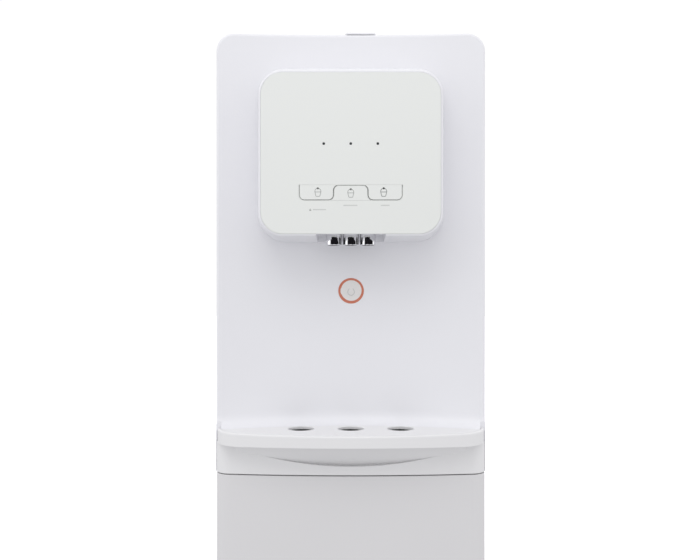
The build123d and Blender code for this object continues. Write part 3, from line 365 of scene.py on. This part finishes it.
foam = Finish("tank_foam", Roughness=0.95, Specular_IOR_Level=0.15)
beads = foam.cells(0.0032)
foam.feed("Base Color", foam.tint(beads * 1.2, (0.84, 0.84, 0.80), (0.62, 0.61, 0.56)))
foam.relief(1 - beads, 0.0006)
dress(foam, "hot_insulation", "cold_insulation")


# Filters.  Three white cartridges turn into a moulded manifold; each has a printed band
# and one, two or three dots for its place in the row.

fitting_plastic = Finish("fitting_plastic", Specular_IOR_Level=0.5)
cloud = fitting_plastic.grain(0.015, 3)
fitting_plastic.feed("Base Color", fitting_plastic.tint(cloud, (0.70, 0.70, 0.67), (0.78, 0.78, 0.76)))
fitting_plastic.feed("Roughness", 0.36 + cloud * 0.15)
fitting_plastic.relief(fitting_plastic.grain(0.0009, 2), 0.00002)
dress(fitting_plastic, "filter_manifold", "valve_manifold", "inlet_fitting", "drain_spigots")

housing_white = Finish("filter_housing", Coat_Weight=0.15, Coat_Roughness=0.12)
flow = housing_white.grain(0.02, 3, (1, 1, 0.2))
scuff = housing_white.edges(0.001)
housing_white.feed("Base Color", housing_white.tint(flow * 0.7 + scuff * 0.3, (0.78, 0.79, 0.80),
                                                    (0.70, 0.71, 0.72)))
housing_white.feed("Roughness", 0.22 + flow * 0.16)
housing_white.relief(housing_white.grain(0.0014, 2), 0.00002)

stage_inks = {"sediment": (0.05, 0.22, 0.50), "carbon": (0.08, 0.09, 0.10),
              "membrane": (0.04, 0.36, 0.34)}


def part_of(name, mesh, finish, body):
    """Turns a bmesh into a finished piece that rides on a body."""
    bmesh.ops.recalc_face_normals(mesh, faces=mesh.faces)
    data = bpy.data.meshes.new(name)
    mesh.to_mesh(data)
    mesh.free()
    piece = on_stage(name, data)
    data.materials.append(finish.material)
    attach(piece, body)
    return piece


def printed_ink(name, shade, roughness=0.42):
    """Ink or foil film: slightly mottled, with a fine screen relief."""
    ink = Finish(name)
    mottle = ink.grain(0.0008, 3)
    dark = tuple(0.88 * channel for channel in shade)
    ink.feed("Base Color", ink.tint(mottle, dark, shade))
    ink.feed("Roughness", roughness + mottle * 0.14)
    ink.relief(mottle, 0.000006)
    return ink


def sleeve(centre, radius, low, high, thickness, steps=96):
    """A closed thin tube round a vertical axis, with eased edges."""
    mesh = bmesh.new()
    ease = thickness / 2
    section = [(radius, low), (radius + ease, low + ease), (radius + ease, high - ease),
               (radius, high), (radius - ease, high), (radius - ease, low)]
    rings = []
    for step in range(steps):
        turn = 2 * math.pi * step / steps
        across = Vector((math.cos(turn), math.sin(turn), 0))
        rings.append([mesh.verts.new(Vector((centre.x, centre.y, z)) + across * r)
                      for r, z in section])
    count = len(section)
    for step in range(steps):
        here, there = rings[step], rings[(step + 1) % steps]
        for n in range(count):
            face = mesh.faces.new((here[n], here[(n + 1) % count], there[(n + 1) % count], there[n]))
            face.smooth = True
    return mesh


def dot_on_drum(centre, radius, turn, height, size, steps=20):
    """A small raised disc on an upright drum."""
    mesh = bmesh.new()
    rings = []
    for lift in (0.00005, 0.00035):
        rings.append([])
        for step in range(steps):
            angle = 2 * math.pi * step / steps
            side = turn + size * math.cos(angle) / radius
            out = Vector((math.cos(side), math.sin(side), 0)) * (radius + lift)
            up = Vector((0, 0, height + size * math.sin(angle)))
            rings[-1].append(mesh.verts.new(Vector((centre.x, centre.y, 0)) + out + up))
    inner, outer = rings
    for step in range(steps):
        after = (step + 1) % steps
        mesh.faces.new((inner[step], inner[after], outer[after], outer[step]))
    mesh.faces.new(outer)
    mesh.faces.new(inner[::-1])
    return mesh


for order, (water_stage, shade) in enumerate(stage_inks.items()):
    node = f"filter_{water_stage}"
    dress(housing_white, node)
    low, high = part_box(node)
    middle = (low + high) / 2
    drum = (high.x - low.x) / 2
    length = high.z - low.z
    band_ink = printed_ink(f"{water_stage}_ink", shade)
    band = sleeve(middle, drum + 0.0001, low.z + 0.52 * length, low.z + 0.78 * length, 0.0003)
    part_of(f"{water_stage}_band", band, band_ink, f"{water_stage}_filter")
    for count in range(order + 1):
        turn = -math.pi / 2 + (count - order / 2) * 0.30
        dot = dot_on_drum(middle, drum, turn, low.z + 0.86 * length, 0.0022)
        part_of(f"{water_stage}_dot_{count + 1}", dot, band_ink, f"{water_stage}_filter")


# Valves, hoses and boards.  Potted coils clip on the valve body, silicone and polythene
# tubes push over its barbs, and two green circuit boards carry the supply and the keys.

coil_wrap = Finish("potted_coil", Coat_Weight=0.1)
turns = coil_wrap.add("ShaderNodeTexWave", {"wave_type": "BANDS", "bands_direction": "Z"},
                      {"Vector": coil_wrap.place(), "Scale": 260.0, "Distortion": 0.4})
coil_wrap.feed("Base Color", coil_wrap.tint(turns, (0.030, 0.035, 0.060), (0.060, 0.070, 0.115)))
coil_wrap.feed("Roughness", 0.40 + turns * 0.2)
coil_wrap.relief(turns, 0.00012)
dress(coil_wrap, "solenoid_hot", "solenoid_ambient", "solenoid_cold")

silicone = Finish("milky_silicone", Subsurface_Weight=0.35, Subsurface_Scale=0.003,
                  Specular_IOR_Level=0.4)
haze = silicone.grain(0.008, 4)
silicone.feed("Base Color", silicone.tint(haze, (0.66, 0.66, 0.63), (0.78, 0.78, 0.76)))
silicone.feed("Roughness", 0.38 + haze * 0.2)
silicone.relief(silicone.grain(0.0012, 2), 0.00003)
dress(silicone, "spout_tubes", "supply_tubes", "drain_tubes", "drain_plug_hot", "drain_plug_cold")

polythene = Finish("polythene_hose", Subsurface_Weight=0.15, Subsurface_Scale=0.002)
drawn = polythene.grain(0.002, 3, (1, 1, 0.1))
polythene.feed("Base Color", polythene.tint(drawn, (0.72, 0.73, 0.72), (0.80, 0.80, 0.78)))
polythene.feed("Roughness", 0.26 + drawn * 0.18)
polythene.relief(drawn, 0.00002)
dress(polythene, "feed_tubes")

board_green = Finish("solder_mask", Coat_Weight=0.4, Coat_Roughness=0.15)
tracks = board_green.add("ShaderNodeTexBrick", {"offset": 0.37, "squash": 0.6},
                         {"Vector": board_green.place((1, 1, 1)), "Scale": 90.0,
                          "Mortar Size": 0.03, "Color1": (0, 0, 0, 1), "Color2": (0, 0, 0, 1),
                          "Mortar": (1, 1, 1, 1)}, "Fac")
board_green.feed("Base Color", board_green.tint(tracks, board_green.tint(
    board_green.grain(0.01, 2), (0.012, 0.090, 0.035), (0.020, 0.125, 0.050)), (0.05, 0.24, 0.11)))
board_green.feed("Roughness", 0.30 + tracks * 0.12)
board_green.relief(tracks, 0.00005)
dress(board_green, "control_board", "power_board")


# Front mouldings.  The dished front panel, the drip shelf, the drawer's nose and the lower
# front are satin white ABS, with the faint orange peel and flow of large mouldings.

def moulding_white(name, bright, dull, base_roughness, peel, texture):
    """Satin white ABS: drifting tone, faint wipe marks, orange peel, rubbed edges."""
    white = Finish(name, Specular_IOR_Level=0.5)
    drift = white.grain(0.12, 3)
    speck = white.grain(0.0016, 2)
    wipe = white.grain(0.02, 5, (1, 1, 0.15))
    rub = white.edges(0.0007)
    white.feed("Base Color", white.tint(drift * 0.75 + speck * 0.25, dull, bright))
    white.feed("Roughness", base_roughness + wipe * 0.10 + speck * 0.03 - rub * 0.08)
    white.relief(white.grain(peel, 2) + speck * 0.4, texture)
    return white


shell_white = moulding_white("satin_white_abs", (0.865, 0.865, 0.890), (0.835, 0.835, 0.862),
                             0.36, 0.0035, 0.000012)
dress(shell_white, "front_panel", "top_cover", "top_lid")

# The drip shelf and the drawer front take a slightly darker copy of the same white: painted shade.
shade_painted_low_white = moulding_white("shade_painted_lower_white_abs", (0.835, 0.833, 0.835), (0.800, 0.797, 0.800),
                           0.36, 0.0035, 0.000012)
dress(shade_painted_low_white, "drip_shelf", "drawer_front")
# The lower front takes a darker copy still: painted shade for the dimmer light low down.
shade_painted_base_white = moulding_white("base_white_abs", (0.745, 0.738, 0.742), (0.710, 0.703, 0.708),
                            0.38, 0.0035, 0.000012)
dress(shade_painted_base_white, "lower_front_panel")

basin_grey = Finish("basin_grey", Specular_IOR_Level=0.45)
lime = basin_grey.cells(0.006) * basin_grey.grain(0.02, 4)
basin_grey.feed("Base Color", basin_grey.tint(basin_grey.ramp(lime, 0.12, 0.42), (0.33, 0.34, 0.37),
                                              (0.44, 0.45, 0.47)))
basin_grey.feed("Roughness", 0.34 + lime * 0.5)
basin_grey.relief(basin_grey.ramp(lime, 0.2, 0.4) * 0.5 + basin_grey.grain(0.0008, 2), 0.00003)
dress(basin_grey, "drip_basin", "drawer_guide")


# Head.  The flared housing is the same ABS as the front, and the face plate and its three
# spring keys are one warmer, glossier white.  Icons and bars are screen printed on them.

dress(shell_white, "head_housing", "nozzle_block")
face_white = moulding_white("face_white_abs", (0.850, 0.868, 0.838), (0.835, 0.850, 0.822),
                            0.30, 0.005, 0.000008)
dress(face_white, "face_plate", "key_hot", "key_ambient", "key_cold")

lamp_lens = Finish("smoked_lens", Coat_Weight=0.6, Coat_Roughness=0.05)
lamp_depth = lamp_lens.grain(0.0009, 2)
lamp_lens.feed("Base Color", lamp_lens.tint(lamp_depth, (0.008, 0.010, 0.012), (0.022, 0.026, 0.032)))
lamp_lens.feed("Roughness", 0.12 + lamp_depth * 0.1)
lamp_lens.relief(lamp_depth, 0.00001)
dress(lamp_lens, "led_lenses")

face_low, face_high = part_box("face_plate")
print_front = face_low.y - 0.00006
print_back = face_low.y + 0.00004


def ink_line(mesh, path, width, closed=False, front=print_front, back=print_back):
    """A printed line of even width along a path in X and Z."""
    count = len(path)
    rings = []
    for n, (x, z) in enumerate(path):
        before = path[n - 1] if n or closed else path[n]
        after = path[(n + 1) % count] if n < count - 1 or closed else path[n]
        way = Vector((after[0] - before[0], after[1] - before[1])).normalized()
        side = Vector((-way.y, way.x)) * width / 2
        rings.append([mesh.verts.new((x + side.x, front, z + side.y)),
                      mesh.verts.new((x - side.x, front, z - side.y)),
                      mesh.verts.new((x - side.x, back, z - side.y)),
                      mesh.verts.new((x + side.x, back, z + side.y))])
    last = count if closed else count - 1
    for n in range(last):
        here, there = rings[n], rings[(n + 1) % count]
        for k in range(4):
            mesh.faces.new((here[k], here[(k + 1) % 4], there[(k + 1) % 4], there[k]))
    if not closed:
        mesh.faces.new(rings[0])
        mesh.faces.new(rings[-1][::-1])


def ink_patch(mesh, outline, front=print_front, back=print_back):
    """A printed area inside an outline in X and Z."""
    top = [mesh.verts.new((x, front, z)) for x, z in outline]
    base = [mesh.verts.new((x, back, z)) for x, z in outline]
    count = len(outline)
    mesh.faces.new(top)
    mesh.faces.new(base[::-1])
    for n in range(count):
        mesh.faces.new((top[n], base[n], base[(n + 1) % count], top[(n + 1) % count]))


def round_path(x, z, radius, start, end, steps):
    """Points on an arc about (x, z), angles in degrees."""
    return [(x + radius * math.cos(math.radians(start + (end - start) * n / steps)),
             z + radius * math.sin(math.radians(start + (end - start) * n / steps)))
            for n in range(steps + 1)]


def drop_outline(x, z, size):
    """A water drop: a round belly that closes to a point above it."""
    belly = round_path(x, z, size, 140, 400, 22)
    return [(x, z + 2.1 * size)] + belly


def bar_outline(x, z, width, height):
    """A bar with round ends."""
    reach = (width - height) / 2
    return (round_path(x + reach, z, height / 2, -90, 90, 8)
            + round_path(x - reach, z, height / 2, 90, 270, 8))


pale_ink = printed_ink("pale_ink", (0.56, 0.57, 0.55))
dark_ink = printed_ink("dark_ink", (0.045, 0.045, 0.05))
icon_ink = printed_ink("icon_ink", (0.46, 0.47, 0.45))
deep_ink = printed_ink("deep_icon_ink", (0.30, 0.31, 0.30))
arch_radius, arch_foot = 0.0029, 0.0046
cup_rim, cup_base, cup_tall, cup_round = 0.0028, 0.0021, 0.0042, 0.0009
arch_spring = 0.0006
dot_radius = 0.0010
icon_line = 0.0006
icon_foot = 0.0012

for water, line_ink, dot_ink in (("hot", icon_ink, deep_ink), ("ambient", icon_ink, deep_ink),
                                 ("cold", deep_ink, dark_ink)):
    low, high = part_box(f"key_{water}")
    x = (low.x + high.x) / 2
    z = (low.z + high.z) / 2 - arch_foot + icon_foot / 2
    body = f"{water}_key"
    bend = cup_base - cup_round
    cup = [(x - cup_rim, z + cup_tall)]
    cup += round_path(x - bend, z + cup_round, cup_round, 180, 270, 5)
    cup += round_path(x + bend, z + cup_round, cup_round, 270, 360, 5)
    cup += [(x + cup_rim, z + cup_tall)]
    glass = bmesh.new()
    ink_line(glass, cup, icon_line)
    arch_z = z + cup_tall
    crown = round_path(x, arch_z + arch_spring, arch_radius, 180, 0, 24)
    ink_line(glass, [(x - arch_radius, arch_z)] + crown + [(x + arch_radius, arch_z)], icon_line)
    ink_line(glass, [(x - arch_radius, arch_z), (x + arch_radius, arch_z)], icon_line)
    part_of(f"{water}_glass_icon", glass, line_ink, body)
    dot = bmesh.new()
    ink_patch(dot, round_path(x, arch_z + arch_spring + arch_radius, dot_radius, 0, 345, 23))
    part_of(f"{water}_dot_icon", dot, dot_ink, body)

label_ink = printed_ink("label_ink", (0.68, 0.69, 0.67))
label_height = 0.0010
labels = [("hot", -0.0300, 0.3712, 0.0127), ("ambient", -0.0004, 0.3753, 0.0136),
          ("cold", 0.0330, 0.3753, 0.0086)]
for water, x, z, width in labels:
    bar = bmesh.new()
    ink_patch(bar, bar_outline(x, z, width, label_height))
    part_of(f"{water}_label_bar", bar, label_ink, "cabinet")

lock_x, lock_z = -0.0388, 0.3708
lock = bmesh.new()
ink_patch(lock, [(lock_x - 0.0009, lock_z - 0.0008), (lock_x + 0.0009, lock_z - 0.0008),
                 (lock_x + 0.0009, lock_z + 0.0005), (lock_x - 0.0009, lock_z + 0.0005)])
ink_line(lock, round_path(lock_x, lock_z + 0.0006, 0.0006, 180, 0, 8), 0.00026)
part_of("child_lock_mark", lock, icon_ink, "cabinet")


# Spouts.  Three brass tubes, machined and chrome plated, with dried water spots near
# their tips; the white block that holds them is seated in the head's floor.

chrome = Finish("spout_chrome", Metallic=1.0)
spots = chrome.cells(0.0021)
spotting = chrome.ramp(spots, 0.10, 0.16) * (1 - chrome.ramp(spots, 0.16, 0.22))
chrome.feed("Base Color", chrome.tint(spotting * 0.5, (0.86, 0.86, 0.87), (0.72, 0.72, 0.70)))
chrome.feed("Roughness", 0.035 + spotting * 0.12 + chrome.grain(0.01, 3) * 0.02)
chrome.relief(spotting, 0.000004)
dress(chrome, "nozzle_hot", "nozzle_ambient", "nozzle_cold")


# Side panels.  Plain ABS covers with a spark-eroded texture that hides fingerprints.

side_white = Finish("textured_white_abs", Specular_IOR_Level=0.45)
spark = side_white.cells(0.0011)
side_drift = side_white.grain(0.15, 3)
side_rub = side_white.edges(0.0008)
side_white.feed("Base Color", side_white.tint(side_drift * 0.8 + spark * 0.2,
                                              (0.800, 0.800, 0.820), (0.835, 0.835, 0.855)))
side_white.feed("Roughness", 0.50 + spark * 0.14 - side_rub * 0.12)
side_white.relief(spark, 0.00003)
dress(side_white, "left_side_panel", "right_side_panel")


# Back fittings.  Red and blue translucent rockers, for hot and cold, each carry a moulded
# bar for on and a ring for off, filled with white paint.

def rocker_lens(name, deep, bright):
    lens = Finish(name, Coat_Weight=0.5, Coat_Roughness=0.08)
    inner = lens.grain(0.004, 2)
    lens.feed("Base Color", lens.tint(inner, deep, bright))
    lens.feed("Roughness", 0.2 + inner * 0.12)
    lens.relief(inner, 0.00002)
    return lens


dress(rocker_lens("red_rocker", (0.42, 0.02, 0.015), (0.62, 0.05, 0.035)), "rocker_hot")
dress(rocker_lens("blue_rocker", (0.02, 0.07, 0.34), (0.05, 0.15, 0.52)), "rocker_cold")

mark_ink = printed_ink("rocker_mark_ink", (0.80, 0.80, 0.79))
mark_line = 0.0007
mark_lift = 0.00012
mark_sink = 0.0001


def painted_mark(node, path, closed):
    """A painted line that follows the face of a rocker, seen from behind."""
    rocker_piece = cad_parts[node]
    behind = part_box(node)[1].y + 0.02
    mesh = bmesh.new()
    rings = []
    count = len(path)
    for n, (x, z) in enumerate(path):
        before = path[n - 1] if n or closed else path[n]
        after = path[(n + 1) % count] if n < count - 1 or closed else path[n]
        way = Vector((after[0] - before[0], after[1] - before[1])).normalized()
        side = Vector((-way.y, way.x)) * mark_line / 2
        ring = []
        for across, lift in ((1, -mark_sink), (1, mark_lift), (-1, mark_lift), (-1, -mark_sink)):
            here = Vector((x + across * side.x, behind, z + across * side.y))
            _, spot, _, _ = rocker_piece.ray_cast(here, Vector((0, -1, 0)))
            ring.append(mesh.verts.new((spot.x, spot.y + lift, spot.z)))
        rings.append(ring)
    last = count if closed else count - 1
    for n in range(last):
        here, there = rings[n], rings[(n + 1) % count]
        for k in range(4):
            mesh.faces.new((here[k], here[(k + 1) % 4], there[(k + 1) % 4], there[k]))
    if not closed:
        mesh.faces.new(rings[0])
        mesh.faces.new(rings[-1][::-1])
    return mesh


for kind, lens_slot in (("hot", "rocker_red"), ("cold", "rocker_blue")):
    low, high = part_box(f"rocker_{kind}")
    x = (low.x + high.x) / 2
    z = (low.z + high.z) / 2
    half = (high.z - low.z) / 2
    bar = painted_mark(f"rocker_{kind}", [(x, z + (0.35 + 0.05 * n) * half) for n in range(7)], False)
    part_of(f"{kind}_rocker_bar", bar, mark_ink, f"{kind}_rocker")
    ring = painted_mark(f"rocker_{kind}", round_path(x, z - 0.52 * half, 0.0017, 0, 345, 23), True)
    part_of(f"{kind}_rocker_ring", ring, mark_ink, f"{kind}_rocker")


# Round sticker on the wall under the spouts: a pale film disc with an orange rim and a
# plain water drop, laid on the dished panel.

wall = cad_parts["front_panel"]


def wall_y(x, z):
    """Where the front panel's face is at a point seen from the front."""
    hit, spot, _, _ = wall.ray_cast(Vector((x, cad_box[0].y - 0.05, z)), Vector((0, 1, 0)))
    return spot.y


sticker_x, sticker_z = 0.0003, 0.2930
sticker_radius = 0.0131


def film_ring(inner, outer, lift, steps=96, waist=lambda turn: 0.0):
    """A film laid on the wall between two circles; waist widens it with the angle."""
    mesh = bmesh.new()
    rings = []
    for step in range(steps):
        turn = 2 * math.pi * step / steps
        near = inner - waist(turn)
        ring = []
        for radius, height in ((near, 0.0), (outer, 0.0), (outer, lift), (near, lift)):
            x = sticker_x + radius * math.cos(turn)
            z = sticker_z + radius * math.sin(turn)
            ring.append(mesh.verts.new((x, wall_y(x, z) - 0.00002 - height, z)))
        rings.append(ring)
    for step in range(steps):
        here, there = rings[step], rings[(step + 1) % steps]
        for k in range(4):
            mesh.faces.new((here[k], here[(k + 1) % 4], there[(k + 1) % 4], there[k]))
    return mesh


orange_film = Finish("orange_film", Coat_Weight=0.2, Coat_Roughness=0.2)
sun = orange_film.grain(0.009, 2)
orange_film.feed("Base Color", orange_film.tint(sun, (0.58, 0.140, 0.070), (0.62, 0.23, 0.15)))
orange_film.feed("Roughness", 0.34 + orange_film.grain(0.001, 2) * 0.1)
orange_film.relief(orange_film.grain(0.0015, 2), 0.000006)
pale_film = printed_ink("pale_film", (0.86, 0.84, 0.82), 0.4)
disc = film_ring(0.0004, sticker_radius - 0.0002, 0.00008)
part_of("sticker_film", disc, pale_film, "cabinet")
rim_film = film_ring(sticker_radius - 0.0022, sticker_radius, 0.00013,
                     waist=lambda turn: 0.0007 * (0.5 - 0.5 * math.sin(turn + 0.6)))
part_of("sticker_rim", rim_film, orange_film, "cabinet")
centre_y = wall_y(sticker_x, sticker_z)
drop = bmesh.new()
ink_line(drop, drop_outline(sticker_x, sticker_z - 0.0012, 0.0034), 0.0005, True,
         centre_y - 0.00022, centre_y - 0.00002)
part_of("sticker_drop", drop, pale_ink, "cabinet")
